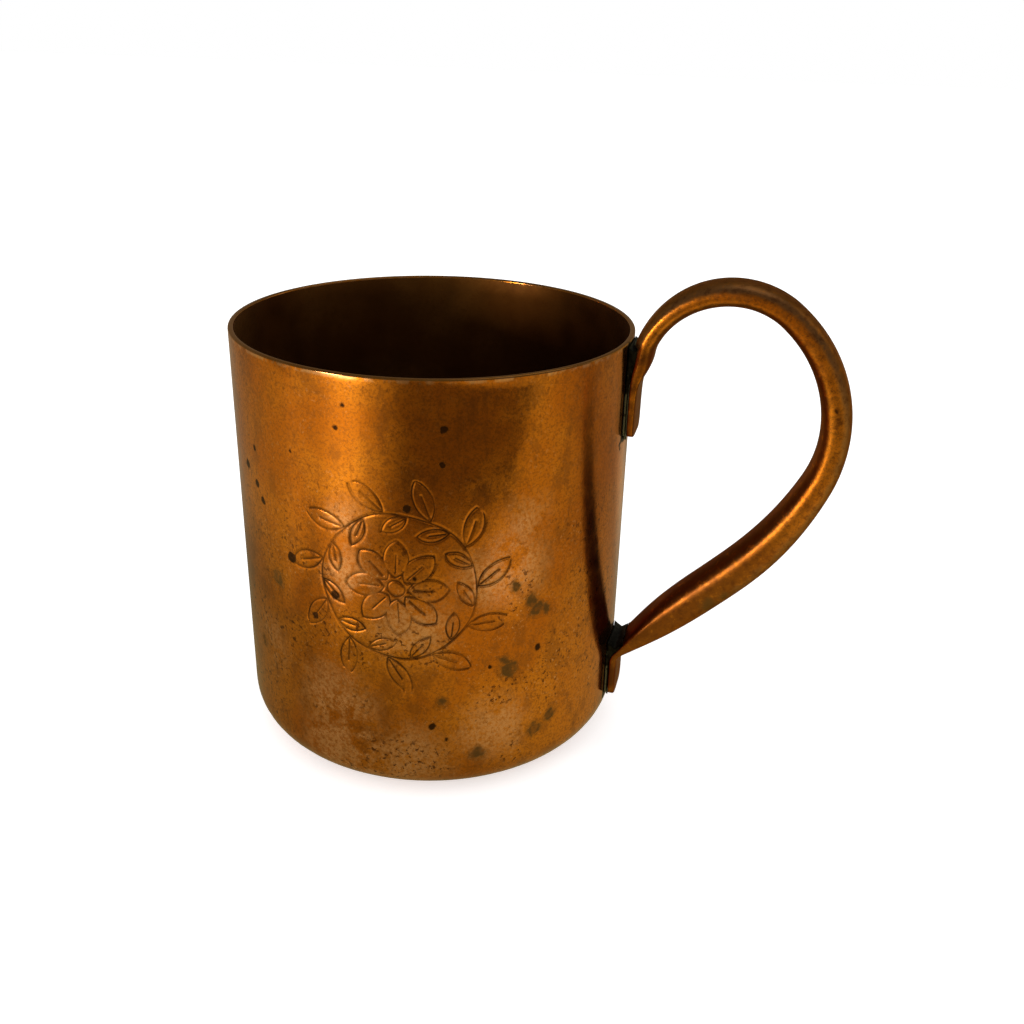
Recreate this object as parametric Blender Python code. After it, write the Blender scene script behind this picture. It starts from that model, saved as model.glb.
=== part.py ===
"""Copper mug: a drawn cup with a hollow tube handle soldered to its side.

Frame: metres, +Z up. The origin is the centre of the flat base, and the handle points along +X.
Pieces: cup_body, handle, upper_solder and lower_solder.
"""

import math

import bmesh
import bpy

MM = 0.001

# Cup: one sheet of copper drawn into a straight wall and a flat base.
CUP_RADIUS = 38.1 * MM
CUP_HEIGHT = 82.6 * MM
CUP_WALL = 1.05 * MM
CUP_CORNER = 8.2 * MM  # outer radius between the base and the wall
CUP_SIDES = 80
CORNER_STEPS = 7
RIM_STEPS = 4

# Handle: a copper tube that is deeper at its lower end. Each end is pressed flat into a tab.
TUBE_WALL = 0.65 * MM
TUBE_HALF_WIDTH = 4.7 * MM
TUBE_SQUARENESS = 2.5  # exponent of the section: 2 is an ellipse, more is boxier
JOINT_HALF_DEPTH = 1.95 * MM  # half the tube's depth just above the upper tab
CROWN_HALF_DEPTH = 2.3 * MM  # at the top of the handle
GRIP_HALF_DEPTH = 2.78 * MM  # where the handle is furthest out
RUN_HALF_DEPTH = 3.84 * MM  # along the straight lower run
TAB_HALF_WIDTH = 5.0 * MM
TAB_HALF_DEPTH = 0.75 * MM
TAB_SQUARENESS = 6.0
TAB_CORNER = 1.6 * MM  # radius of the tab's two rounded corners
TAB_GAP = 0.35 * MM  # between the middle of the tab's flat face and the wall
UPPER_SWELL = 7.0 * MM  # length over which the tube opens out above the upper tab
UPPER_SWELL_LEAD = 1.8 * MM  # how far before the bend that starts
LOWER_SWELL = 14.0 * MM  # length over which it is pressed flat above the lower tab
PRESS_SOFTNESS = 0.5  # share of that length over which the press fades into the round tube

# Handle centreline, in the X-Z plane. Headings are degrees above +X, as the line leaves each bend.
UPPER_TAB_END_Z = 64.5 * MM
UPPER_BEND_Z = 74.9 * MM
LOWER_TAB_END_Z = 8.0 * MM
UPPER_BEND_RADIUS = 8.2 * MM
NECK_HEADING = 78.0
NECK_LENGTH = 2.9 * MM
CROWN_RADIUS = 16.1 * MM
SHOULDER_HEADING = -38.0
GRIP_RADIUS = 26.5 * MM
HIP_HEADING = -112.4
HIP_RADIUS = 61.0 * MM
RUN_HEADING = -135.8
FOLD_RADIUS = 3.0 * MM
STRAIGHT_DOWN = -90.0

SECTION_POINTS = 24
BEND_STEP = 7.5  # degrees of bend between sections
STRAIGHT_STEP = 2.5 * MM
TAB_END_STEPS = 3

# Solder: fills the space between each tab and the wall, and the notch above it, just clear of both.
SOLDER_CLEARANCE = 0.08 * MM
SOLDER_SIDE_POINTS = 10  # points of the tube's section that it covers
SOLDER_LIP = 0.7 * MM  # how far it runs past the end of its tab
SOLDER_DIP = 0.35  # how deep its top sags, as a share of its thickness there
SOLDER_TOP_ROWS = 3  # rows whose ends are closed by one face, under the sagging top
UPPER_SOLDER_TOP_Z = 82.2 * MM
LOWER_SOLDER_TOP_Z = 21.0 * MM

SHARP_ANGLE = math.radians(40)


def clear_scene():
    for item in list(bpy.data.objects):
        bpy.data.objects.remove(item, do_unlink=True)


def metal(name, color, roughness):
    material = bpy.data.materials.new(name)
    material.use_nodes = True
    shader = material.node_tree.nodes["Principled BSDF"]
    shader.inputs["Base Color"].default_value = (*color, 1.0)
    shader.inputs["Roughness"].default_value = roughness
    shader.inputs["Metallic"].default_value = 1.0
    return material


def add_piece(name, bm, material):
    """Turns a bmesh into a named, smooth-shaded object whose faces point out."""
    bmesh.ops.recalc_face_normals(bm, faces=bm.faces)
    mesh = bpy.data.meshes.new(name)
    bm.to_mesh(mesh)
    bm.free()
    mesh.materials.append(material)
    mesh.shade_smooth()
    mesh.set_sharp_from_angle(angle=SHARP_ANGLE)
    piece = bpy.data.objects.new(name, mesh)
    bpy.context.scene.collection.objects.link(piece)
    return piece


def ease(t):
    """0 to 1 with a level start and end."""
    t = min(max(t, 0.0), 1.0)
    return t * t * (3.0 - 2.0 * t)


def arc_points(centre_r, centre_z, radius, start, end, steps):
    """Points on an arc of the cup's profile, angles in degrees from the outward direction."""
    points = []
    for i in range(steps + 1):
        angle = math.radians(start + (end - start) * i / steps)
        points.append((centre_r + radius * math.cos(angle), centre_z + radius * math.sin(angle)))
    return points


def cup_profile():
    """The cup's section from the axis under the base, up the outside, over the rim and back inside."""
    corner_r = CUP_RADIUS - CUP_CORNER
    rim_radius = CUP_WALL / 2
    outside = [(0.0, 0.0)]
    outside += arc_points(corner_r, CUP_CORNER, CUP_CORNER, -90, 0, CORNER_STEPS)
    rim = arc_points(CUP_RADIUS - rim_radius, CUP_HEIGHT - rim_radius, rim_radius, 0, 180, RIM_STEPS)
    inside = arc_points(corner_r, CUP_CORNER, CUP_CORNER - CUP_WALL, 0, -90, CORNER_STEPS)
    return outside + rim + inside + [(0.0, CUP_WALL)]


def make_cup(material):
    bm = bmesh.new()
    points = [bm.verts.new((r, 0.0, z)) for r, z in cup_profile()]
    edges = [bm.edges.new(pair) for pair in zip(points, points[1:])]
    bmesh.ops.spin(bm, geom=points + edges, cent=(0, 0, 0), axis=(0, 0, 1), angle=math.tau,
                   steps=CUP_SIDES, use_merge=True)
    bmesh.ops.remove_doubles(bm, verts=bm.verts, dist=0.001 * MM)
    return add_piece("cup_body", bm, material)


class Centreline:
    """Follows the handle's middle line and keeps a station (x, z, heading, travel) at each step."""

    def __init__(self, x, z, heading):
        self.x = x
        self.z = z
        self.heading = heading
        self.travel = 0.0
        self.stations = [(x, z, heading, 0.0)]

    def go(self, chord, direction, heading, travel):
        """Moves along a chord, then keeps the new station."""
        self.x += chord * math.cos(math.radians(direction))
        self.z += chord * math.sin(math.radians(direction))
        self.heading = heading
        self.travel += travel
        self.stations.append((self.x, self.z, self.heading, self.travel))

    def straight(self, length, step=STRAIGHT_STEP):
        count = max(1, math.ceil(length / step - 1e-6))
        for _ in range(count):
            self.go(length / count, self.heading, self.heading, length / count)

    def bend(self, radius, heading):
        turn = heading - self.heading
        count = max(2, math.ceil(abs(turn) / BEND_STEP))
        part = turn / count
        chord = 2 * radius * math.sin(math.radians(abs(part)) / 2)
        for _ in range(count):
            self.go(chord, self.heading + part / 2, self.heading + part, radius * math.radians(abs(part)))

    def tab_end(self, first):
        """Follows a tab's rounded corners, in steps that shorten towards its end."""
        angles = [math.radians(90 * i / TAB_END_STEPS) for i in range(TAB_END_STEPS + 1)]
        lengths = [TAB_CORNER * (math.cos(a) - math.cos(b)) for a, b in zip(angles, angles[1:])]
        if not first:
            lengths.reverse()
        for length in lengths:
            self.straight(length, length)


def handle_centreline():
    """The centreline from the upper tab's end to the lower one's, with the travel at each landmark."""
    tab_x = CUP_RADIUS + TAB_GAP + TAB_HALF_DEPTH
    line = Centreline(tab_x, UPPER_TAB_END_Z, 90.0)
    marks = {}
    line.tab_end(first=True)
    line.straight(UPPER_BEND_Z - line.z)
    marks["upper_bend"] = line.travel
    line.bend(UPPER_BEND_RADIUS, NECK_HEADING)
    line.straight(NECK_LENGTH, NECK_LENGTH / 2)
    marks["neck"] = line.travel
    line.bend(CROWN_RADIUS, 0.0)
    marks["crown"] = line.travel
    line.bend(CROWN_RADIUS, SHOULDER_HEADING)
    line.bend(GRIP_RADIUS, STRAIGHT_DOWN)
    marks["grip"] = line.travel
    line.bend(GRIP_RADIUS, HIP_HEADING)
    line.bend(HIP_RADIUS, RUN_HEADING)
    marks["run"] = line.travel
    fold_shift = FOLD_RADIUS * (1 - math.cos(math.radians(STRAIGHT_DOWN - RUN_HEADING)))
    run_length = (line.x - tab_x - fold_shift) / -math.cos(math.radians(RUN_HEADING))
    pressed_length = LOWER_SWELL * (1 + PRESS_SOFTNESS)
    line.straight(run_length - pressed_length, 2 * STRAIGHT_STEP)
    line.straight(pressed_length, STRAIGHT_STEP / 2)
    marks["fold"] = line.travel
    line.bend(FOLD_RADIUS, STRAIGHT_DOWN)
    line.straight(line.z - LOWER_TAB_END_Z - TAB_CORNER)
    line.tab_end(first=False)
    marks["end"] = line.travel
    return line.stations, marks


def level_off(value, softness):
    """The value itself until it comes near 1, where it levels off without a corner."""
    near = max(softness - abs(value - 1.0), 0.0)
    return min(value, 1.0) - near**2 / (4 * softness)


def between(travel, pairs):
    """A value that eases from one (travel, value) pair to the next."""
    for (start, low), (end, high) in zip(pairs, pairs[1:]):
        if travel <= end:
            return low + (high - low) * ease((travel - start) / (end - start))
    return pairs[-1][1]


def tube_share(travel, marks):
    """0 on the flat tabs and 1 where the tube has its full section."""
    opened = ease((travel - marks["upper_bend"] + UPPER_SWELL_LEAD) / UPPER_SWELL)
    pressed = max(level_off((marks["fold"] - travel) / LOWER_SWELL, PRESS_SOFTNESS), 0.0)
    return min(opened, pressed)


def section_sizes(travel, marks):
    """Half depth, half width and squareness of the tube's outside at a station."""
    share = tube_share(travel, marks)
    full_depth = between(travel, [
        (marks["neck"], JOINT_HALF_DEPTH),
        (marks["crown"], CROWN_HALF_DEPTH),
        (marks["grip"], GRIP_HALF_DEPTH),
        (marks["run"], RUN_HALF_DEPTH),
    ])
    depth = TAB_HALF_DEPTH + (full_depth - TAB_HALF_DEPTH) * share
    width = TAB_HALF_WIDTH + (TUBE_HALF_WIDTH - TAB_HALF_WIDTH) * share
    squareness = TAB_SQUARENESS + (TUBE_SQUARENESS - TAB_SQUARENESS) * share
    to_end = min(travel, marks["end"] - travel)
    if to_end < TAB_CORNER:
        cut = TAB_CORNER - math.sqrt(TAB_CORNER**2 - (TAB_CORNER - to_end) ** 2)
        width -= cut
    return depth, width, squareness


def signed_power(value, power):
    return math.copysign(abs(value) ** power, value)


def off_the_wall(station, depth):
    """The station moved out so that the tube swells away from the wall, level with its tab."""
    x, z, heading, travel = station
    wall_side = x - depth * math.sin(math.radians(heading))
    return x + max(0.0, CUP_RADIUS + TAB_GAP - wall_side), z, heading, travel


def square_to(station):
    """The direction square to the centreline, as (x, z). It points at the wall on the upper tab."""
    heading = math.radians(station[2])
    return -math.sin(heading), math.cos(heading)


def section(station, depth, width, squareness):
    """The points of one closed section of the tube."""
    x, z, _, _ = station
    normal_x, normal_z = square_to(station)
    points = []
    for i in range(SECTION_POINTS):
        angle = math.tau * (i + 0.5) / SECTION_POINTS
        out = depth * signed_power(math.cos(angle), 2 / squareness)
        side = width * signed_power(math.sin(angle), 2 / squareness)
        points.append((x + out * normal_x, side, z + out * normal_z))
    return points


def join_rings(bm, first, second):
    count = len(first)
    for i in range(count):
        j = (i + 1) % count
        bm.faces.new((first[i], first[j], second[j], second[i]))


def make_handle(material):
    """The hollow tube: an outer and an inner skin, joined round the narrow slit at each tab's end."""
    bm = bmesh.new()
    stations, marks = handle_centreline()
    outer = []
    inner = []
    for station in stations:
        depth, width, squareness = section_sizes(station[3], marks)
        placed = off_the_wall(station, depth)
        outside = section(placed, depth, width, squareness)
        inside = section(placed, depth - TUBE_WALL, width - TUBE_WALL, squareness)
        outer.append([bm.verts.new(point) for point in outside])
        inner.append([bm.verts.new(point) for point in inside])
    for skin in (outer, inner):
        for first, second in zip(skin, skin[1:]):
            join_rings(bm, first, second)
    join_rings(bm, outer[0], inner[0])
    join_rings(bm, outer[-1], inner[-1])
    return add_piece("handle", bm, material)


def wall_x(y):
    """Distance from the axis to the solder's wall side, at this distance from the handle's plane."""
    return math.sqrt(CUP_RADIUS**2 - y**2) + SOLDER_CLEARANCE


def facing_points(station, marks, first):
    """Points on the side of a section that runs from index first, with one more in the middle."""
    depth, width, squareness = section_sizes(station[3], marks)
    points = section(off_the_wall(station, depth), depth, width, squareness)
    facing = [points[(first + i) % SECTION_POINTS] for i in range(SOLDER_SIDE_POINTS)]
    half = SOLDER_SIDE_POINTS // 2
    middle = tuple((a + b) / 2 for a, b in zip(facing[half - 1], facing[half]))
    return facing[:half] + [middle] + facing[half:]


def solder_rows(stations, marks, toward_wall, top_z):
    """Lines of points across the handle, just clear of its wall side, from below the tab up to top_z.

    The value toward_wall is 1 where square_to points at the wall and -1 where it points away.
    """
    first = -SOLDER_SIDE_POINTS // 2 if toward_wall > 0 else (SECTION_POINTS - SOLDER_SIDE_POINTS) // 2
    rows = []
    for station in stations:
        normal_x, normal_z = square_to(station)
        reach = toward_wall * SOLDER_CLEARANCE
        facing = facing_points(station, marks, first)
        row = [(x + reach * normal_x, y, z + reach * normal_z) for x, y, z in facing]
        if max(z for _, _, z in row) > top_z:
            break
        rows.append(row)
    lip = [(x, y, z - SOLDER_LIP) for x, y, z in rows[0]]
    return [lip] + rows


def make_solder(name, rows, material):
    """Solder between the wall and the rows of points along the handle. Its top sags in the middle."""
    bm = bmesh.new()
    loops = []
    for handle_side in zip(*rows):
        wall_side = [(wall_x(y), y, z) for _, y, z in handle_side]
        x, y, z = handle_side[-1]
        thickness = x - wall_x(y)
        dip = (x - thickness / 2, y, z - SOLDER_DIP * thickness)
        outline = wall_side + [dip] + list(reversed(handle_side))
        loops.append([bm.verts.new(point) for point in outline])
    for first, second in zip(loops, loops[1:]):
        join_rings(bm, first, second)
    below_top = len(rows) - SOLDER_TOP_ROWS
    for loop in (loops[0], loops[-1]):
        for k in range(below_top):
            bm.faces.new((loop[k], loop[k + 1], loop[-2 - k], loop[-1 - k]))
        bm.faces.new(loop[below_top:len(loop) - below_top])
    return add_piece(name, bm, material)


def main():
    clear_scene()
    copper = metal("copper", (0.62, 0.27, 0.12), 0.3)
    solder = metal("solder", (0.28, 0.27, 0.2), 0.6)
    make_cup(copper)
    make_handle(copper.copy())
    stations, marks = handle_centreline()
    upper_rows = solder_rows(stations, marks, 1, UPPER_SOLDER_TOP_Z)
    lower_rows = solder_rows(stations[::-1], marks, -1, LOWER_SOLDER_TOP_Z)
    make_solder("upper_solder", upper_rows, solder)
    make_solder("lower_solder", lower_rows, solder.copy())


main()
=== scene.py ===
"""The finished look of the copper mug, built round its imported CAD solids.

Frame: metres, +Z up. The origin is the centre of the mug's base, and the handle points along +X.
Directions round the mug are degrees from the handle, turning from +X towards +Y.
The materials work in millimetres, in that same frame.
"""

import math

import bmesh
import bpy
import numpy as np
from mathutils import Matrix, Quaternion, Vector, noise


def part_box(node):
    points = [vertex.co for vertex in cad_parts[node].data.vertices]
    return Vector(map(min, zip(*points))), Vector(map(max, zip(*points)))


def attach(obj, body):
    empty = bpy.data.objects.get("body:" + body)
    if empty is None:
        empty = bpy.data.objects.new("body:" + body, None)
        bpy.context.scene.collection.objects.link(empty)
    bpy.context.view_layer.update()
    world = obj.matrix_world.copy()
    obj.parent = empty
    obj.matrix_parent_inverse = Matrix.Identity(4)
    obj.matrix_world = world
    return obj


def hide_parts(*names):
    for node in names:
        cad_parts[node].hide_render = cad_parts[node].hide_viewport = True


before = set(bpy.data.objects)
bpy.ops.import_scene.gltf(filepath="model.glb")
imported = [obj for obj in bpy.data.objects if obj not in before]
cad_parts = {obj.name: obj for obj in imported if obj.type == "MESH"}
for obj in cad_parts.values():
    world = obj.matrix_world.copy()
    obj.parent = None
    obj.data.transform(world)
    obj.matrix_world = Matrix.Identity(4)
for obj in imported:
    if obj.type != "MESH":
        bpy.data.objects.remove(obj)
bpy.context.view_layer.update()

MM = 0.001
WHITE = (1.0, 1.0, 1.0, 1.0)

# Cup, from its CAD solid.
CUP_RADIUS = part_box("cup_body")[1].y
CUP_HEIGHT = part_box("cup_body")[1].z
CUP_WALL = 1.05 * MM
CUP_CORNER = 8.2 * MM  # radius between the wall and the base
RIM_CORNER = 0.32 * MM  # radius of the lip's two edges
COARSE_TURN = 3.0  # degrees between columns away from the ornament
COARSE_STEP = 2.2 * MM
CORNER_STEPS = 10
RIM_STEPS = 4
BASE_RINGS = 5
OUT_OF_ROUND = 0.12 * MM  # at the lip, and less lower down

# Handle and solder, from their CAD solids.
HANDLE_LEVELS = 2  # of subdivision
SAME_POINT = 0.01 * MM  # apart at most
SOLDER_CUTS = 3
SOLDER_LUMP = 0.8 * MM  # size of the lumps on its surface
SOLDER_CRUST = 0.12 * MM  # how deep it is eaten away at most

# Ornament: a wreath of outlined leaves round a rosette, pressed into the wall. Sizes in millimetres.
ORNAMENT_ANGLE = -82.0  # direction of its middle, in degrees
ORNAMENT_HEIGHT = 45.0
ORNAMENT_REACH = 20.6  # nothing is pressed in further from its middle
ORNAMENT_STEP = 0.185  # between the mesh's rows and columns there
ORNAMENT_SWAY = 0.22  # how far its lines stray from true
LINE_WIDTH = 0.21  # from the middle of a line to where it is a third as deep
LINE_DEPTH = 0.13
WREATH_RADIUS = 14.0
WREATH_LEAVES = 11
OUTER_LEAF = (7.8, 3.3, 50.0)  # length, width and lean in degrees
INNER_LEAF = (5.4, 2.4, 44.0)
ROSETTE_PETALS = 8
ROSETTE_PETAL_START = 2.1
ROSETTE_PETAL_END = 9.2
ROSETTE_PETAL_WIDTH = 4.4
ROSETTE_EYE = 1.5

# Marks on the outside of the wall: direction in degrees, height and radius in millimetres.
DARK_SPOTS = [
    (-134.4, 60.3, 0.9), (-128.6, 64.6, 0.6), (-128.6, 57.7, 0.8), (-125.8, 55.0, 0.7),
    (-113.9, 46.6, 1.1), (-111.9, 67.1, 0.4), (-97.4, 73.4, 0.5), (-95.2, 77.3, 0.4),
    (-78.9, 60.2, 0.9), (-69.8, 74.2, 0.7), (-70.1, 68.2, 0.6), (-99.6, 41.8, 0.9),
    (-106.4, 36.4, 0.6), (-42.8, 30.3, 0.7), (-57.3, 28.6, 0.5), (-73.0, 16.6, 0.8),
    (-69.3, 13.7, 0.4), (-77.5, 47.0, 0.5), (-8.5, 63.6, 0.6), (-8.0, 62.6, 0.4),
]
GREY_STAINS = [
    (-50.4, 43.9, 1.1), (-45.6, 40.3, 1.2), (-43.8, 38.3, 1.6), (-40.6, 37.8, 1.0),
    (-53.5, 29.5, 1.0), (-51.9, 27.4, 1.7), (-43.1, 12.1, 1.6), (-37.8, 14.2, 1.3),
    (-120.6, 40.7, 1.6), (-132.5, 24.0, 1.2), (-60.0, 10.0, 1.6), (-70.6, 21.7, 1.0),
]
SCUFFED_PLACES = [
    (-50.5, 48.5, 6.0), (-47.0, 56.0, 3.5), (-59.0, 46.0, 4.5), (-95.5, 57.0, 2.5),
    (-96.0, 46.0, 4.5), (-78.0, 37.0, 6.0), (-101.0, 19.0, 7.5), (-98.0, 9.0, 9.0),
    (-80.0, 9.0, 7.0), (-56.0, 15.0, 6.0), (-128.0, 26.0, 5.0), (60.0, 30.0, 5.0),
    (66.0, 24.0, 3.5), (110.0, 55.0, 4.0), (160.0, 22.0, 5.0), (168.0, 15.0, 3.5), (-170.0, 62.0, 3.0),
]

# Marks on the handle: x, y, z and radius in millimetres.
HANDLE_STAINS = [(57.2, -4.0, 31.9, 1.7), (59.9, -4.1, 34.0, 1.1)]
HANDLE_SPOTS = [(68.7, -4.0, 46.7, 0.4), (68.0, -4.0, 45.6, 0.4), (75.0, -4.5, 73.9, 0.45)]
# Painted shade on the handle: on its neck, along the upper tab beside the wall, and near its lower
# joint.
HANDLE_SHADED_PLACES = [
    (41.2, -3.6, 79.6, 1.6), (40.6, -3.6, 77.4, 1.2), (38.3, -5.0, 74.0, 1.1), (38.3, -5.0, 71.0, 1.1),
    (38.3, -5.0, 68.0, 1.1), (38.3, -5.0, 65.5, 1.1), (43.0, 0.0, 24.0, 4.6), (39.6, -4.6, 13.0, 2.4),
]
LOOP_CENTRE = (52.0, 0.0, 62.0)  # the middle of the space inside the handle
FAR_OFF = 99.0  # millimetres from any mark
AT_BOX = 0.1  # millimetres from a box, and as good as touching it

# Camera, fitted to the photo.
CAMERA_PLACE = Vector((62.3, -191.7, 134.6)) * MM
CAMERA_AIM = Vector((15.1, 4.7, 42.3)) * MM
CAMERA_ROLL = 1.56  # degrees
CAMERA_LENS = 37.9  # millimetres

# Floor. To the eye it is white, and the mug's reflections show a table top instead.
FLOOR_SIZE = 6.0
FLOOR_DROP = 0.05 * MM  # below the mug's base, so that the two don't share a plane
FLOOR_GREY = (0.8, 0.8, 0.8, 1.0)
FLOOR_GLOW = 0.55
STREAK_DIRECTION = -122.0  # of the bright streak on the table
# Weaker bands of light on the table: direction, spread and strength.
FAINT_BEAMS = [(60.0, 0.24, 0.35), (118.0, 0.34, 0.80), (211.0, 0.14, 0.30)]
TABLE_NEAR = (0.46, 0.43, 0.20, 1.0)
TABLE_FAR = (0.29, 0.265, 0.185, 1.0)
TABLE_DARK_END = (0.13, 0.11, 0.05, 1.0)
TABLE_LIGHT_PATCH = (0.62, 0.57, 0.36, 1.0)
BEAM_LIGHT = (0.95, 0.90, 0.60, 1.0)
GLARE_LIGHT = (0.74, 0.69, 0.39, 1.0)
STREAK_LIGHT = (1.15, 1.09, 0.68, 1.0)
LAMP_LIGHT = (4.2, 3.8, 3.0, 1.0)
ROOM_LOW = (0.17, 0.16, 0.13, 1.0)
ROOM_HIGH = (0.10, 0.10, 0.095, 1.0)


class Nodes:
    """Builds the nodes of one material or world. Every input can be a number, a colour or a socket."""

    def __init__(self, owner):
        owner.use_nodes = True
        self.tree = owner.node_tree
        self.tree.nodes.clear()

    def add(self, kind, inputs, **settings):
        """A new shader node with its settings, and its inputs filled or linked."""
        made = self.tree.nodes.new("ShaderNode" + kind)
        for key, value in settings.items():
            setattr(made, key, value)
        for key, value in inputs.items():
            if isinstance(value, bpy.types.NodeSocket):
                self.tree.links.new(value, made.inputs[key])
            else:
                made.inputs[key].default_value = value
        return made

    def math(self, operation, first, second=0.0):
        return self.add("Math", {0: first, 1: second}, operation=operation).outputs[0]

    def times(self, first, second):
        return self.math("MULTIPLY", first, second)

    def larger(self, first, second):
        return self.math("MAXIMUM", first, second)

    def vector(self, operation, first, second=(0.0, 0.0, 0.0)):
        made = self.add("VectorMath", {0: first, 1: second}, operation=operation)
        return made.outputs["Value" if operation in ("LENGTH", "DISTANCE") else "Vector"]

    def step(self, value, start, end, low=0.0, high=1.0):
        """Eases from low at start to high at end."""
        inputs = {"Value": value, "From Min": start, "From Max": end, "To Min": low, "To Max": high}
        return self.add("MapRange", inputs, interpolation_type="SMOOTHSTEP").outputs["Result"]

    def mix(self, share, first, second):
        """From the first colour at share 0 to the second at share 1."""
        return self.add("Mix", {0: share, 6: first, 7: second}, data_type="RGBA").outputs[2]

    def lerp(self, share, first, second):
        return self.add("Mix", {0: share, 2: first, 3: second}, data_type="FLOAT").outputs[0]

    def millimetres(self):
        """The point being shaded, in the mug's own frame."""
        place = self.add("TexCoord", {}).outputs["Object"]
        return self.vector("MULTIPLY", place, (1000.0, 1000.0, 1000.0))

    def coordinate(self, place, axis):
        """A point's X, Y or Z."""
        return self.add("SeparateXYZ", {0: place}).outputs[axis]

    def from_axis(self, place):
        """How far a point is from the mug's axis."""
        return self.vector("LENGTH", self.vector("MULTIPLY", place, (1.0, 1.0, 0.0)))

    def noise(self, place, size, detail=3.0, roughness=0.5, stretch=(1.0, 1.0, 1.0)):
        """Noise from 0 to 1 whose blobs are about size millimetres across, times stretch."""
        scale = tuple(1.0 / (size * part) for part in stretch)
        inputs = {"Vector": self.vector("MULTIPLY", place, scale), "Scale": 1.0,
                  "Detail": detail, "Roughness": roughness}
        return self.add("TexNoise", inputs).outputs["Fac"]

    def wobbled(self, place, size, amount):
        """The place moved about by noise, which roughens the outline of whatever is drawn there."""
        inputs = {"Vector": place, "Scale": 1.0 / size, "Detail": 3.0}
        shift = self.add("TexNoise", inputs).outputs["Color"]
        shift = self.vector("SUBTRACT", shift, (0.5, 0.5, 0.5))
        return self.vector("ADD", place, self.vector("MULTIPLY", shift, (2 * amount,) * 3))

    def specks(self, place, cell, low, high):
        """Round specks, one to a cell of that size, with radii spread from low to high millimetres."""
        cells = self.add("TexVoronoi", {"Vector": place, "Scale": 1.0 / cell})
        chance = self.add("SeparateColor", {0: cells.outputs["Color"]}).outputs[0]
        radius = self.step(chance, 0.0, 1.0, low, high)
        distance = self.times(cells.outputs["Distance"], cell)
        return self.step(self.math("SUBTRACT", distance, radius), 0.12, -0.12)

    def marks(self, place, spots, softness):
        """1 inside any of the round spots (x, y, z, radius), with edges as wide as softness each way."""
        nearest = FAR_OFF
        for x, y, z, radius in spots:
            distance = self.vector("DISTANCE", place, (x, y, z))
            nearest = self.math("MINIMUM", nearest, self.math("SUBTRACT", distance, radius))
        return self.step(nearest, softness, -softness)

    def near_box(self, place, node, reach):
        """1 at a CAD node's box, 0 from reach millimetres away."""
        low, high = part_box(node)
        centre = tuple((low + high) / 2 / MM)
        half = tuple((high - low) / 2 / MM)
        offset = self.vector("ABSOLUTE", self.vector("SUBTRACT", place, centre))
        outside = self.vector("MAXIMUM", self.vector("SUBTRACT", offset, half))
        return self.step(self.vector("LENGTH", outside), reach, AT_BOX)

    def near_solder(self, place, reach):
        """1 at either solder pad's box, 0 from reach millimetres away."""
        upper = self.near_box(place, "upper_solder", reach)
        lower = self.near_box(place, "lower_solder", reach)
        return self.larger(upper, lower)

    def turned(self, x, y, direction):
        """How far the point (x, y) is from the mug's axis in a direction in degrees."""
        part_x = self.times(x, math.cos(math.radians(direction)))
        part_y = self.times(y, math.sin(math.radians(direction)))
        return self.math("ADD", part_x, part_y)

    def bump(self, height, distance, normal=None):
        """A bump of that many millimetres between height 0 and height 1."""
        inputs = {"Height": height, "Distance": distance * MM, "Strength": 1.0}
        if normal is not None:
            inputs["Normal"] = normal
        return self.add("Bump", inputs).outputs["Normal"]

    def surface(self, color, roughness, normal, edge_color=WHITE, **more):
        """A metal under a thin film of wax and grime, whose own reflection is uncoloured."""
        inputs = {"Base Color": color, "Roughness": roughness, "Metallic": 1.0, "Normal": normal,
                  "Specular Tint": edge_color, "Coat Weight": FILM, "Coat Roughness": FILM_ROUGHNESS}
        inputs.update({key.replace("_", " "): value for key, value in more.items()})
        shader = self.add("BsdfPrincipled", inputs)
        self.add("OutputMaterial", {"Surface": shader.outputs[0]})


# Colours of the copper, from clean to dirty.
BARE_COPPER = (0.95, 0.560, 0.330, 1.0)
COPPER_SCUFFED = (1.00, 0.450, 0.210, 1.0)
COPPER_LIGHT = (0.90, 0.284, 0.021, 1.0)
COPPER_DEEP = (0.71, 0.187, 0.010, 1.0)
COPPER_RIM = (0.560, 0.235, 0.045, 1.0)
COPPER_BROWN = (0.34, 0.105, 0.018, 1.0)
STAIN_GREY = (0.170, 0.085, 0.026, 1.0)
STAIN_EDGE = (0.080, 0.036, 0.012, 1.0)
SPECK_BROWN = (0.160, 0.045, 0.010, 1.0)
GROOVE_DIRT = (0.085, 0.028, 0.008, 1.0)
SPOT_BROWN = (0.022, 0.009, 0.004, 1.0)
BLACK_DIRT = (0.010, 0.007, 0.004, 1.0)
LINING_LIGHT = (0.320, 0.130, 0.026, 1.0)
LINING_DARK = (0.170, 0.055, 0.008, 1.0)
LINING_SHADE = (0.080, 0.024, 0.004, 1.0)  # painted shade on the side towards the handle
# Painted sheen on the handle's outer curve: a grey reflection over some tarnish.
HANDLE_SHEEN_AND_TARNISH = (0.360, 0.170, 0.060, 1.0)
# Painted shade on the lower part of the handle.
HANDLE_LOW_SHADE = (0.270, 0.084, 0.013, 1.0)
# Painted shade on the side of the handle that faces the loop.
HANDLE_LOOP_SHADE = (0.140, 0.062, 0.018, 1.0)
HANDLE_SHADE = (0.070, 0.045, 0.022, 1.0)  # in the wall's reflection of the handle
HANDLE_GLIMPSE = (0.240, 0.225, 0.120, 1.0)  # glow added to that reflection, more of it higher up
SOLDER_GREY = (0.026, 0.024, 0.016, 1.0)
VERDIGRIS = (0.240, 0.230, 0.150, 1.0)

# Reflections at a glancing angle, and the film of wax and grime.
CUP_EDGE = (0.950, 0.850, 0.740, 1.0)
HANDLE_EDGE = (0.600, 0.360, 0.160, 1.0)
FILM = 0.07
FILM_ROUGHNESS = 0.3
HANDLE_DULLER = 0.21  # added to the handle's roughness


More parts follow.
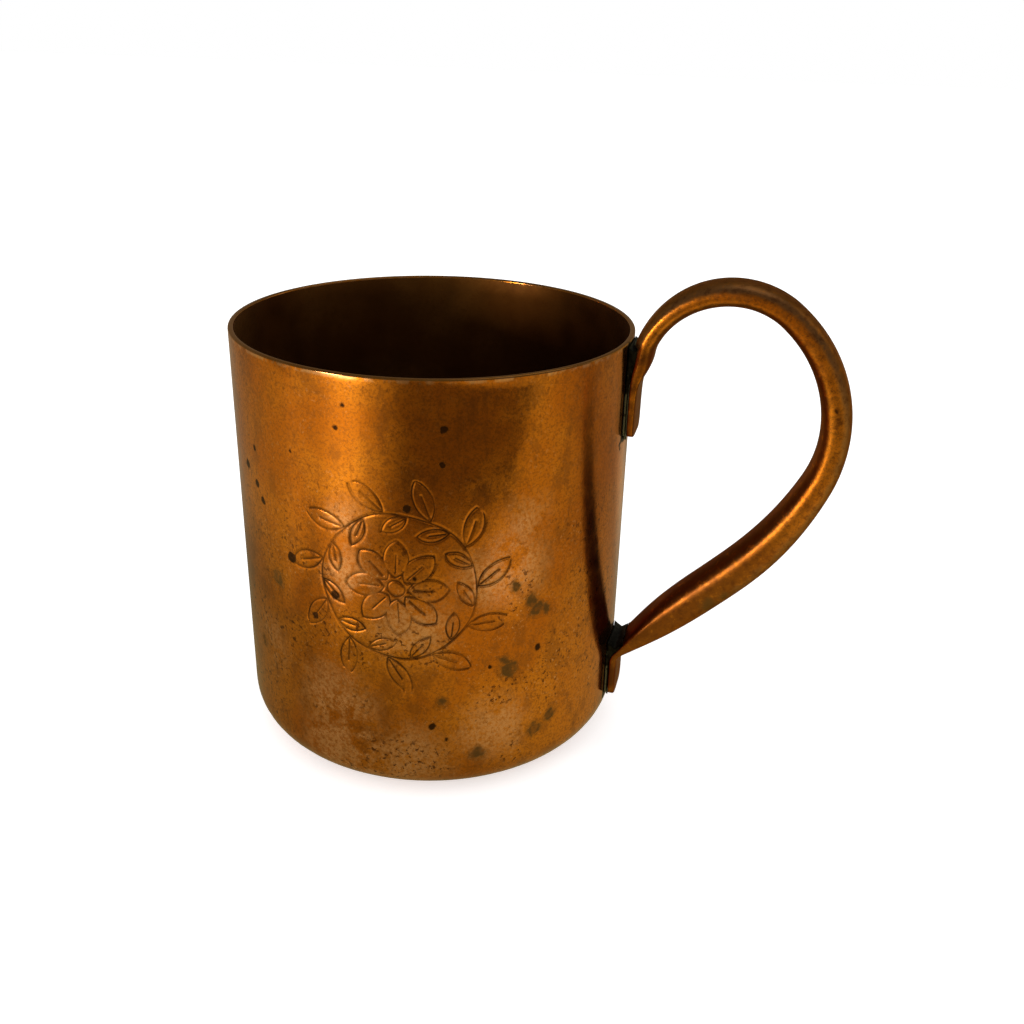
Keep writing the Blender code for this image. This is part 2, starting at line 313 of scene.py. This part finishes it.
def on_wall(spots):
    """Spots (direction, height, radius) on the outside of the cup as (x, y, z, radius)."""
    placed = []
    for direction, height, radius in spots:
        x = CUP_RADIUS / MM * math.cos(math.radians(direction))
        y = CUP_RADIUS / MM * math.sin(math.radians(direction))
        placed.append((x, y, height, radius))
    return placed


def old_copper(nodes, place):
    """Colour, roughness and relief of rubbed, unevenly tarnished copper, before any spots."""
    cloud = nodes.noise(place, 20.0, detail=5.0, roughness=0.6)
    color = nodes.mix(nodes.step(cloud, 0.36, 0.64), COPPER_DEEP, COPPER_LIGHT)
    wiped = nodes.noise(place, 4.0, detail=10.0, roughness=0.75, stretch=(1.0, 1.0, 1.6))
    color = nodes.mix(nodes.step(wiped, 0.49, 0.60, 0.0, 0.48), color, COPPER_BROWN)
    grain = nodes.noise(place, 0.5, detail=4.0, roughness=0.75)
    color = nodes.mix(nodes.step(grain, 0.46, 0.62, 0.0, 0.58), color, COPPER_BROWN)
    rubbed = nodes.noise(place, 3.0, detail=8.0, roughness=0.65)
    roughness = nodes.step(rubbed, 0.3, 0.7, 0.09, 0.20)
    dents = nodes.noise(place, 8.0, detail=4.0)
    normal = nodes.bump(dents, 0.04, nodes.bump(grain, 0.006))
    return color, roughness, normal


def add_scuffs(nodes, place, color, roughness):
    """Pale, duller copper where hands and tables have rubbed the wall."""
    handled = nodes.marks(nodes.wobbled(place, 6.0, 3.0), on_wall(SCUFFED_PLACES), 4.0)
    patchy = nodes.step(nodes.noise(place, 7.0, detail=10.0, roughness=0.78), 0.40, 0.50)
    scratchy = nodes.step(nodes.noise(place, 0.7, detail=5.0, roughness=0.7), 0.38, 0.58, 0.2, 1.0)
    scuff = nodes.times(patchy, nodes.times(handled, scratchy))
    color = nodes.mix(nodes.times(scuff, 0.85), color, COPPER_SCUFFED)
    return color, nodes.math("ADD", roughness, nodes.times(scuff, 0.10))


def add_grain(nodes, place, height, color):
    """Fine pale flecks and brown rust, most of it low down."""
    low_down = nodes.step(height, 75.0, 35.0, 0.4, 1.0)
    fleck = nodes.step(nodes.noise(place, 0.6, detail=5.0, roughness=0.7), 0.57, 0.68)
    flecked = nodes.step(nodes.noise(place, 9.0, detail=4.0), 0.42, 0.60, 0.2, 0.9)
    color = nodes.mix(nodes.times(nodes.times(fleck, flecked), low_down), color, COPPER_SCUFFED)
    rust = nodes.step(nodes.noise(place, 0.9, detail=5.0, roughness=0.65), 0.55, 0.63, 0.0, 0.9)
    rusty = nodes.step(nodes.noise(place, 10.0, detail=3.0), 0.42, 0.60)
    return nodes.mix(nodes.times(nodes.times(rust, rusty), low_down), color, SPECK_BROWN)


def add_stains(nodes, place, color):
    """Grey-brown blots with a darker edge. Also gives the share that they cover."""
    blotted = nodes.wobbled(place, 2.6, 1.5)
    stain = nodes.marks(blotted, on_wall(GREY_STAINS), 0.45)
    cover = nodes.step(nodes.noise(place, 1.4, detail=5.0), 0.35, 0.60, 0.6, 0.92)
    color = nodes.mix(nodes.times(stain, cover), color, STAIN_GREY)
    ring = nodes.math("SUBTRACT", nodes.marks(blotted, on_wall(GREY_STAINS), 0.7), stain)
    return nodes.mix(nodes.larger(nodes.times(ring, 1.3), 0.0), color, STAIN_EDGE), stain


def add_groove_dirt(nodes, place, color):
    """Dirt along the lines of the ornament, from the mesh's groove depth."""
    groove = nodes.add("Attribute", {}, attribute_name="groove").outputs["Fac"]
    filled = nodes.step(nodes.noise(place, 3.0, detail=5.0), 0.35, 0.6, 0.65, 1.0)
    return nodes.mix(nodes.times(nodes.step(groove, 0.25, 0.85), filled), color, GROOVE_DIRT)


def add_lip(nodes, place, height, color):
    """Bare metal just under the lip, and browner metal on it. Also gives the share that is lip."""
    top = CUP_HEIGHT / MM
    worn = nodes.step(nodes.noise(place, 1.8, detail=6.0, roughness=0.6), 0.44, 0.56)
    edge = nodes.times(nodes.step(height, top - 1.0, top - 0.5), worn)
    color = nodes.mix(nodes.times(edge, 0.4), color, BARE_COPPER)
    lip = nodes.step(height, top - 0.33, top - 0.12)
    return nodes.mix(nodes.times(lip, 0.9), color, COPPER_RIM), lip


def cup_copper():
    """The outside of the cup: rubbed and spotted, with dirt in the ornament and round the solder."""
    material = bpy.data.materials.new("cup_copper")
    nodes = Nodes(material)
    place = nodes.millimetres()
    height = nodes.coordinate(place, "Z")
    ragged = nodes.wobbled(place, 1.6, 0.6)
    color, roughness, normal = old_copper(nodes, place)
    color, roughness = add_scuffs(nodes, place, color, roughness)
    color = add_grain(nodes, place, height, color)
    color, stain = add_stains(nodes, place, color)

    specks = nodes.specks(ragged, 9.0, -0.9, 0.30)
    spot = nodes.times(nodes.larger(nodes.marks(ragged, on_wall(DARK_SPOTS), 0.20), specks), 0.94)
    color = nodes.mix(spot, color, SPOT_BROWN)
    color = add_groove_dirt(nodes, place, color)
    color, lip = add_lip(nodes, place, height, color)
    dirt = nodes.near_solder(ragged, 0.7)
    color = nodes.mix(dirt, color, BLACK_DIRT)

    dull = nodes.larger(nodes.larger(spot, dirt), stain)
    roughness = nodes.lerp(dull, roughness, 0.5)
    film = nodes.step(lip, 0.0, 1.0, FILM, 0.0)
    nodes.surface(color, roughness, normal, CUP_EDGE, Coat_Weight=film)
    return material


def cup_lining():
    """The dull brown inside of the cup, darkest on the handle's side with painted shade."""
    material = bpy.data.materials.new("cup_lining")
    nodes = Nodes(material)
    place = nodes.millimetres()
    cloud = nodes.noise(place, 26.0, detail=4.0, roughness=0.5)
    color = nodes.mix(nodes.step(cloud, 0.35, 0.7), LINING_DARK, LINING_LIGHT)
    grime = nodes.noise(place, 2.5, detail=8.0, roughness=0.7)
    color = nodes.mix(nodes.step(grime, 0.45, 0.7, 0.0, 0.5), color, LINING_DARK)
    x = nodes.coordinate(place, "X")
    # Painted shade on the handle's side.
    color = nodes.mix(nodes.step(x, -15.0, 30.0, 0.0, 0.75), color, LINING_SHADE)
    roughness = nodes.step(nodes.noise(place, 5.0, detail=6.0), 0.3, 0.7, 0.40, 0.55)
    normal = nodes.bump(nodes.noise(place, 7.0, detail=5.0), 0.05)
    nodes.surface(color, roughness, normal)
    return material


def facing_loop(nodes, place):
    """From -1 on the handle's outer curve to 1 on the side that faces the loop, made a little patchy."""
    to_loop = nodes.vector("NORMALIZE", nodes.vector("SUBTRACT", LOOP_CENTRE, place))
    facing = nodes.add("NewGeometry", {}).outputs["Normal"]
    inward = nodes.add("VectorMath", {0: facing, 1: to_loop}, operation="DOT_PRODUCT").outputs["Value"]
    patches = nodes.step(nodes.noise(place, 4.0, detail=7.0, roughness=0.65), 0.3, 0.7, -0.12, 0.12)
    return nodes.math("ADD", inward, patches)


def add_wear_and_painted_light(nodes, place, height, color):
    """Painted shade low down, on the side that faces the loop and at the shaded places, and a painted
    sheen over some tarnish along the outer curve, all of it unevenly worn.
    """
    inward = facing_loop(nodes, place)
    # Painted shade: darker low down.
    color = nodes.mix(nodes.step(height, 60.0, 36.0, 0.0, 0.85), color, HANDLE_LOW_SHADE)
    # Painted sheen along the outer curve, over some tarnish.
    color = nodes.mix(nodes.step(inward, -0.35, -0.80, 0.0, 0.80), color, HANDLE_SHEEN_AND_TARNISH)
    # Painted shade on the side that faces the loop.
    color = nodes.mix(nodes.step(inward, 0.15, 0.65, 0.0, 0.90), color, HANDLE_LOOP_SHADE)
    worn = nodes.noise(place, 1.6, detail=9.0, roughness=0.72)
    color = nodes.mix(nodes.step(worn, 0.50, 0.63, 0.0, 0.55), color, SPECK_BROWN)
    color = nodes.mix(nodes.step(worn, 0.46, 0.36, 0.0, 0.35), color, COPPER_LIGHT)
    # Painted shade at the handle's shaded places.
    dark = nodes.marks(nodes.wobbled(place, 4.0, 0.8), HANDLE_SHADED_PLACES, 1.0)
    return nodes.mix(nodes.times(dark, 0.8), color, SPECK_BROWN)


def handle_copper():
    """Worn, dented copper, with painted shade and a painted sheen. In the wall's reflection it is
    shaded, with a little glow high up.
    """
    material = bpy.data.materials.new("handle_copper")
    nodes = Nodes(material)
    place = nodes.millimetres()
    height = nodes.coordinate(place, "Z")
    ragged = nodes.wobbled(place, 1.6, 0.6)
    color, roughness, normal = old_copper(nodes, place)
    color = add_wear_and_painted_light(nodes, place, height, color)
    in_reflection = nodes.add("LightPath", {}).outputs["Is Glossy Ray"]
    color = nodes.mix(nodes.times(in_reflection, 0.8), color, HANDLE_SHADE)
    glimpsed = nodes.times(in_reflection, nodes.step(height, 38.0, 78.0))

    stain = nodes.marks(nodes.wobbled(place, 2.6, 1.2), HANDLE_STAINS, 0.7)
    color = nodes.mix(nodes.times(stain, 0.75), color, STAIN_GREY)
    specks = nodes.specks(ragged, 10.0, -1.2, 0.3)
    spot = nodes.times(nodes.larger(nodes.marks(ragged, HANDLE_SPOTS, 0.25), specks), 0.9)
    color = nodes.mix(spot, color, SPOT_BROWN)
    at_wall = nodes.step(nodes.from_axis(place), CUP_RADIUS / MM + 1.0, CUP_RADIUS / MM + 0.5)
    dirt = nodes.times(nodes.near_solder(ragged, 0.6), at_wall)
    color = nodes.mix(dirt, color, BLACK_DIRT)

    dull = nodes.larger(spot, dirt)
    roughness = nodes.lerp(dull, nodes.math("ADD", roughness, HANDLE_DULLER), 0.55)
    normal = nodes.bump(nodes.noise(place, 2.4, detail=4.0), 0.10, normal)
    nodes.surface(color, roughness, normal, HANDLE_EDGE,
                  Emission_Color=HANDLE_GLIMPSE, Emission_Strength=glimpsed)
    return material


def old_solder():
    """Blackened, with a pale line of verdigris along the wall in its lower half."""
    material = bpy.data.materials.new("old_solder")
    nodes = Nodes(material)
    place = nodes.millimetres()
    dirt = nodes.noise(place, 1.6, detail=6.0, roughness=0.6)
    color = nodes.mix(nodes.step(dirt, 0.42, 0.58), SOLDER_GREY, BLACK_DIRT)
    share_up = nodes.coordinate(nodes.add("TexCoord", {}).outputs["Generated"], "Z")
    crust = nodes.noise(place, 1.1, detail=5.0)
    share_up = nodes.math("ADD", share_up, nodes.step(crust, 0.3, 0.7, -0.25, 0.25))
    by_wall = nodes.step(nodes.from_axis(place), CUP_RADIUS / MM + 0.55, CUP_RADIUS / MM + 0.35)
    color = nodes.mix(nodes.times(nodes.step(share_up, 0.6, 0.4), by_wall), color, VERDIGRIS)
    nodes.surface(color, 0.55, nodes.bump(crust, 0.1))
    return material


def repeat_round(u, v, count, turn=0.0):
    """Folds a plane into one of count equal sectors. Gives the angle in the sector and the radius."""
    sector = math.tau / count
    angle = np.arctan2(v, u) - turn
    return angle - sector * np.round(angle / sector), np.hypot(u, v)


def leaf_line(along, across, length, width):
    """Distance to the outline of a pointed leaf that runs from 0 to length."""
    arc_radius = (length**2 / 4 + width**2 / 4) / width
    arc_centre = arc_radius - width / 2
    return np.abs(np.hypot(along - length / 2, np.abs(across) + arc_centre) - arc_radius)


def stem_line(along, across, start, end):
    """Distance to a straight line from start to end."""
    return np.hypot(np.maximum(np.maximum(start - along, along - end), 0.0), across)


def wreath_leaf(angle, radius, side, leaf):
    """Distance to a leaf that leans along the wreath. Side is 1 outside the ring and -1 inside."""
    length, width, lean = leaf
    x = radius * np.cos(angle) - WREATH_RADIUS
    y = radius * np.sin(angle)
    tilt = math.radians(lean)
    along = y * math.cos(tilt) + side * x * math.sin(tilt) - 0.4
    across = -y * math.sin(tilt) + side * x * math.cos(tilt)
    rib = stem_line(along, across, 0.5, length * 0.62)
    return np.minimum(leaf_line(along, across, length, width), rib)


def ornament_distance(u, v):
    """Distance in millimetres from a point on the wall to the nearest line of the ornament."""
    u = u + ORNAMENT_SWAY * np.sin(0.33 * v + 0.8)
    v = v + ORNAMENT_SWAY * np.sin(0.41 * u)
    sector = math.tau / WREATH_LEAVES
    nearest = np.abs(np.hypot(u, v) - WREATH_RADIUS)
    for side, leaf, turn in ((1, OUTER_LEAF, 0.0), (-1, INNER_LEAF, sector / 2)):
        angle, radius = repeat_round(u, v, WREATH_LEAVES, turn)
        for shift in (-sector, 0.0, sector):
            nearest = np.minimum(nearest, wreath_leaf(angle - shift, radius, side, leaf))
    angle, radius = repeat_round(u, v, ROSETTE_PETALS)
    along = radius * np.cos(angle) - ROSETTE_PETAL_START
    across = radius * np.sin(angle)
    length = ROSETTE_PETAL_END - ROSETTE_PETAL_START
    nearest = np.minimum(nearest, leaf_line(along, across, length, ROSETTE_PETAL_WIDTH))
    nearest = np.minimum(nearest, stem_line(along, across, 0.9, length * 0.62))
    return np.minimum(nearest, np.abs(radius - ROSETTE_EYE))


def groove_depth(turn, height):
    """How deep the ornament is pressed in, from 0 to 1, at a direction in degrees and a height."""
    u = np.radians(turn - ORNAMENT_ANGLE) * CUP_RADIUS / MM
    v = height / MM - ORNAMENT_HEIGHT
    distance = ornament_distance(u, v)
    uneven = 0.8 + 0.2 * np.sin(u * 0.45 + 1.3) * np.cos(v * 0.38)
    depth = np.exp(-(distance / LINE_WIDTH) ** 2) * uneven
    return np.where(np.hypot(u, v) < ORNAMENT_REACH, depth, 0.0)


def steps(start, end, size):
    """Evenly spaced values from start up to, but without, end."""
    count = max(1, math.ceil((end - start) / size - 1e-6))
    return start + (end - start) * np.arange(count) / count


def columns():
    """Directions of the cup mesh's columns: close together over the ornament."""
    half = math.degrees(ORNAMENT_REACH * MM / CUP_RADIUS)
    low = ORNAMENT_ANGLE - half
    high = ORNAMENT_ANGLE + half
    fine = steps(low, high, math.degrees(ORNAMENT_STEP * MM / CUP_RADIUS))
    return np.concatenate([fine, steps(high, low + 360.0, COARSE_TURN)])


def arc(radius, height, size, start, end, count):
    """Points on an arc of the cup's section, without the last one."""
    angle = np.radians(start + (end - start) * np.arange(count) / count)
    return np.column_stack([radius + size * np.cos(angle), height + size * np.sin(angle)])


def line(radii, heights):
    """Points with these radii and heights, either of which can be one number for all of them."""
    return np.column_stack(np.broadcast_arrays(radii, heights))


def cup_section():
    """The cup's section as (radius, height), under the base, up, over the rim and down inside.

    The second value is how many of the points are on the outside.
    """
    middle = CUP_RADIUS - CUP_CORNER
    inner = CUP_RADIUS - CUP_WALL
    low = (ORNAMENT_HEIGHT - ORNAMENT_REACH) * MM
    high = (ORNAMENT_HEIGHT + ORNAMENT_REACH) * MM
    lip = CUP_HEIGHT - RIM_CORNER
    ring = middle / BASE_RINGS
    wall = np.concatenate([
        steps(CUP_CORNER, low, COARSE_STEP),
        steps(low, high, ORNAMENT_STEP * MM),
        steps(high, lip, COARSE_STEP),
    ])
    outside = np.concatenate([
        line(ring + steps(0.0, middle - ring, ring), 0.0),
        arc(middle, CUP_CORNER, CUP_CORNER, -90, 0, CORNER_STEPS),
        line(CUP_RADIUS, wall),
        arc(CUP_RADIUS - RIM_CORNER, lip, RIM_CORNER, 0, 90, RIM_STEPS),
        arc(inner + RIM_CORNER, lip, RIM_CORNER, 90, 180, RIM_STEPS),
    ])
    inside = np.concatenate([
        line(inner, lip + CUP_CORNER - steps(CUP_CORNER, lip, 1.5 * COARSE_STEP)),
        arc(middle, CUP_CORNER, CUP_CORNER - CUP_WALL, 0, -90, CORNER_STEPS),
        line(middle - steps(0.0, middle, ring), CUP_WALL),
    ])
    return np.concatenate([outside, inside]), len(outside)


def cup_rings():
    """Rings of points up the outside and down the inside, with the ornament's depth at each point.

    The third value is how many of the rings are on the outside.
    """
    section, outside_rows = cup_section()
    turns, radii = np.meshgrid(columns(), section[:, 0])
    heights = np.broadcast_to(section[:, 1:], radii.shape)
    outside = np.arange(len(section))[:, None] < outside_rows
    groove = np.where(outside & (heights > CUP_CORNER), groove_depth(turns, heights), 0.0)
    oval = 0.5 - 0.5 * np.cos(np.radians(2 * turns) + 0.6)
    upper = np.clip(heights / CUP_HEIGHT, 0.0, 1.0) ** 2
    radii = radii - LINE_DEPTH * MM * groove - OUT_OF_ROUND * oval * upper
    angles = np.radians(turns)
    rings = np.stack([radii * np.cos(angles), radii * np.sin(angles), heights], axis=-1)
    return rings, groove, outside_rows


def cup_faces(row_count, column_count):
    """Faces between the rings, then a fan under the base, then a fan on the cup's floor."""
    index = np.arange(row_count * column_count).reshape(row_count, column_count)
    beside = np.roll(index, -1, axis=1)
    quads = np.stack([index[:-1], beside[:-1], beside[1:], index[1:]], axis=-1).reshape(-1, 4)
    under = index.size
    floor = index.size + 1
    base_fan = [(under, b, a) for a, b in zip(index[0].tolist(), beside[0].tolist())]
    floor_fan = [(floor, a, b) for a, b in zip(index[-1].tolist(), beside[-1].tolist())]
    return quads.tolist() + base_fan + floor_fan


def make_cup():
    """The cup as one closed skin, with the ornament pressed into its outside."""
    rings, groove, outside_rows = cup_rings()
    row_count, column_count = groove.shape
    points = np.concatenate([rings.reshape(-1, 3), [(0, 0, 0), (0, 0, CUP_WALL)]])
    mesh = bpy.data.meshes.new("copper_cup")
    mesh.from_pydata(points.tolist(), [], cup_faces(row_count, column_count))
    depths = np.append(groove.ravel(), (0.0, 0.0)).astype(np.float32)
    mesh.attributes.new("groove", "FLOAT", "POINT").data.foreach_set("value", depths)

    mesh.materials.append(cup_copper())
    mesh.materials.append(cup_lining())
    lining = np.zeros(len(mesh.polygons), np.int32)
    lining[outside_rows * column_count:(row_count - 1) * column_count] = 1
    lining[-column_count:] = 1
    mesh.polygons.foreach_set("material_index", lining)
    mesh.shade_smooth()
    cup = bpy.data.objects.new("copper_cup", mesh)
    bpy.context.scene.collection.objects.link(cup)
    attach(cup, "root")
    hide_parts("cup_body")


def joined_faces(node):
    """A CAD node's mesh with its triangles joined back into four-sided faces."""
    bm = bmesh.new()
    bm.from_mesh(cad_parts[node].data)
    bmesh.ops.remove_doubles(bm, verts=bm.verts, dist=SAME_POINT)
    bmesh.ops.join_triangles(bm, faces=bm.faces, angle_face_threshold=math.pi,
                             angle_shape_threshold=math.pi)
    return bm


def put_in_place(bm, node, name, material):
    """Makes the finished piece that stands in for a CAD node."""
    mesh = bpy.data.meshes.new(name)
    bm.to_mesh(mesh)
    bm.free()
    mesh.materials.clear()
    mesh.materials.append(material)
    mesh.shade_smooth()
    piece = bpy.data.objects.new(name, mesh)
    bpy.context.scene.collection.objects.link(piece)
    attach(piece, "root")
    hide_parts(node)
    return piece


def make_handle():
    """A smoothed copy of the handle."""
    bm = joined_faces("handle")
    piece = put_in_place(bm, "handle", "copper_handle", handle_copper())
    smooth = piece.modifiers.new("Smooth", "SUBSURF")
    smooth.levels = HANDLE_LEVELS
    smooth.render_levels = HANDLE_LEVELS


def make_solder(node, name, material):
    """A crusty copy of the solder, cut finer and eaten away unevenly."""
    bm = joined_faces(node)
    bmesh.ops.subdivide_edges(bm, edges=bm.edges, cuts=SOLDER_CUTS, use_grid_fill=True)
    bm.normal_update()
    for vertex in bm.verts:
        eaten = 0.5 + 0.5 * noise.noise(vertex.co / SOLDER_LUMP)
        vertex.co -= vertex.normal * SOLDER_CRUST * eaten
    put_in_place(bm, node, name, material)


def from_beam(nodes, x, y, direction):
    """How far along a direction a point is, and how far to the side of it as a share of that."""
    along = nodes.turned(x, y, direction)
    across = nodes.turned(x, y, direction + 90.0)
    return along, nodes.math("DIVIDE", across, nodes.larger(along, 1.0))


def add_dark_end(nodes, x, y, table):
    """The shaded end of the table, off to the right of the picture."""
    past_edge = nodes.math("SUBTRACT", y, nodes.step(x, 60.0, 180.0, -128.0, -95.0))
    soft_start = nodes.step(x, 50.0, 120.0, 34.0, 6.0)
    soft_end = nodes.step(x, 50.0, 120.0, -44.0, -12.0)
    dark = nodes.step(past_edge, soft_start, soft_end)
    dark = nodes.times(dark, nodes.step(x, 330.0, 270.0))
    return nodes.mix(dark, table, TABLE_DARK_END)


def add_faint_beams(nodes, x, y, table):
    """Weak bands of light that run away from the mug."""
    for direction, spread, strength in FAINT_BEAMS:
        along, slant = from_beam(nodes, x, y, direction)
        beam = nodes.step(nodes.math("ABSOLUTE", slant), spread, 0.04)
        beam = nodes.times(beam, nodes.step(along, 45.0, 170.0))
        table = nodes.mix(nodes.times(beam, strength), table, BEAM_LIGHT)
    return table


def add_streak(nodes, x, y, table):
    """The bright streak in a wider glare, with a lamp at its far end."""
    along, slant = from_beam(nodes, x, y, STREAK_DIRECTION)
    glare = nodes.times(nodes.step(slant, -1.0, -0.1), nodes.step(slant, 0.75, 0.1))
    glare = nodes.times(glare, nodes.step(along, 110.0, 190.0))
    table = nodes.mix(glare, table, GLARE_LIGHT)
    streak = nodes.times(nodes.step(slant, -0.18, 0.02), nodes.step(slant, 0.32, 0.10))
    table = nodes.mix(nodes.times(streak, nodes.step(along, 50.0, 210.0)), table, STREAK_LIGHT)
    lamp = nodes.times(streak, nodes.step(along, 430.0, 720.0))
    return nodes.mix(lamp, table, LAMP_LIGHT)


def table_in_reflections(nodes):
    """What the mug sees of the table: a warm top with light on it, dimmer close to the mug."""
    place = nodes.millimetres()
    x = nodes.coordinate(place, "X")
    y = nodes.coordinate(place, "Y")
    table = nodes.mix(nodes.step(y, -60.0, 90.0), TABLE_NEAR, TABLE_FAR)
    table = add_dark_end(nodes, x, y, table)
    # A painted pool of light on the table.
    patch = nodes.step(nodes.vector("DISTANCE", place, (104.0, -76.0, 0.0)), 36.0, 14.0)
    table = nodes.mix(patch, table, TABLE_LIGHT_PATCH)
    table = add_faint_beams(nodes, x, y, table)
    table = add_streak(nodes, x, y, table)
    shade = nodes.step(nodes.vector("DISTANCE", place, (-25.0, 5.0, 0.0)), 60.0, 130.0, 0.52, 1.0)
    shade = nodes.lerp(nodes.step(x, 10.0, 60.0), shade, 1.0)
    return nodes.add("Emission", {"Color": table, "Strength": shade})


def floor_material():
    """White to the eye. Reflections see the table instead."""
    material = bpy.data.materials.new("floor")
    nodes = Nodes(material)
    grey = nodes.add("BsdfDiffuse", {"Color": FLOOR_GREY})
    glow = nodes.add("Emission", {"Color": WHITE, "Strength": FLOOR_GLOW})
    seen = nodes.add("AddShader", {0: grey.outputs[0], 1: glow.outputs[0]})
    reflected = table_in_reflections(nodes)
    in_reflection = nodes.add("LightPath", {}).outputs["Is Glossy Ray"]
    shader = nodes.add("MixShader", {0: in_reflection, 1: seen.outputs[0], 2: reflected.outputs[0]})
    nodes.add("OutputMaterial", {"Surface": shader.outputs[0]})
    return material


def make_floor():
    """A wide floor just under the mug."""
    bm = bmesh.new()
    bmesh.ops.create_grid(bm, x_segments=1, y_segments=1, size=FLOOR_SIZE / 2)
    mesh = bpy.data.meshes.new("floor")
    bm.to_mesh(mesh)
    bm.free()
    mesh.materials.append(floor_material())
    floor = bpy.data.objects.new("floor", mesh)
    floor.location.z = -FLOOR_DROP
    bpy.context.scene.collection.objects.link(floor)


def make_world():
    """White behind the mug, and a dimmer room in its reflections."""
    world = bpy.data.worlds.new("studio")
    nodes = Nodes(world)
    direction = nodes.add("TexCoord", {}).outputs["Generated"]
    up = nodes.coordinate(direction, "Z")
    room = nodes.mix(nodes.step(up, 0.0, 0.7), ROOM_LOW, ROOM_HIGH)
    in_reflection = nodes.add("LightPath", {}).outputs["Is Glossy Ray"]
    color = nodes.mix(in_reflection, WHITE, room)
    shade = nodes.add("Background", {"Color": color, "Strength": 1.0})
    nodes.add("OutputWorld", {"Surface": shade.outputs[0]})
    bpy.context.scene.world = world


def soft_light(name, direction, elevation, distance, width, height, brightness, color):
    """A rectangular light that faces the mug. It shows in reflections but not to the camera."""
    turn = math.radians(direction)
    rise = math.radians(elevation)
    away = Vector((math.cos(turn) * math.cos(rise), math.sin(turn) * math.cos(rise), math.sin(rise)))
    data = bpy.data.lights.new(name, "AREA")
    data.shape = "RECTANGLE"
    data.size = width
    data.size_y = height
    data.energy = brightness * math.pi * width * height
    data.color = color
    light = bpy.data.objects.new(name, data)
    light.location = Vector((0.0, 0.0, CUP_HEIGHT / 2)) + away * distance
    light.rotation_mode = "QUATERNION"
    light.rotation_quaternion = away.to_track_quat("Z", "Y")
    light.visible_camera = False
    bpy.context.scene.collection.objects.link(light)


def make_lights():
    """A low warm key light to the left, a weak light from above and a weak one behind."""
    soft_light("key", direction=-127.0, elevation=7.5, distance=0.8, width=0.14, height=0.15,
               brightness=24.0, color=(1.0, 0.90, 0.72))
    soft_light("overhead", direction=60.0, elevation=65.0, distance=0.9, width=0.5, height=0.5,
               brightness=0.35, color=(0.95, 0.97, 1.0))
    soft_light("fill", direction=40.0, elevation=25.0, distance=1.0, width=0.3, height=0.4,
               brightness=0.4, color=(1.0, 0.90, 0.78))


def make_camera():
    """The photo's camera."""
    data = bpy.data.cameras.new("camera")
    data.lens = CAMERA_LENS
    camera = bpy.data.objects.new("camera", data)
    camera.location = CAMERA_PLACE
    camera.rotation_mode = "QUATERNION"
    level = (CAMERA_AIM - CAMERA_PLACE).to_track_quat("-Z", "Y")
    camera.rotation_quaternion = level @ Quaternion((0.0, 0.0, 1.0), math.radians(CAMERA_ROLL))
    bpy.context.scene.collection.objects.link(camera)
    bpy.context.scene.camera = camera


make_cup()
make_handle()
solder = old_solder()
make_solder("upper_solder", "upper_solder_pad", solder)
make_solder("lower_solder", "lower_solder_pad", solder)
make_floor()
make_world()
make_lights()
make_camera()
bpy.context.scene.view_settings.view_transform = "Standard"
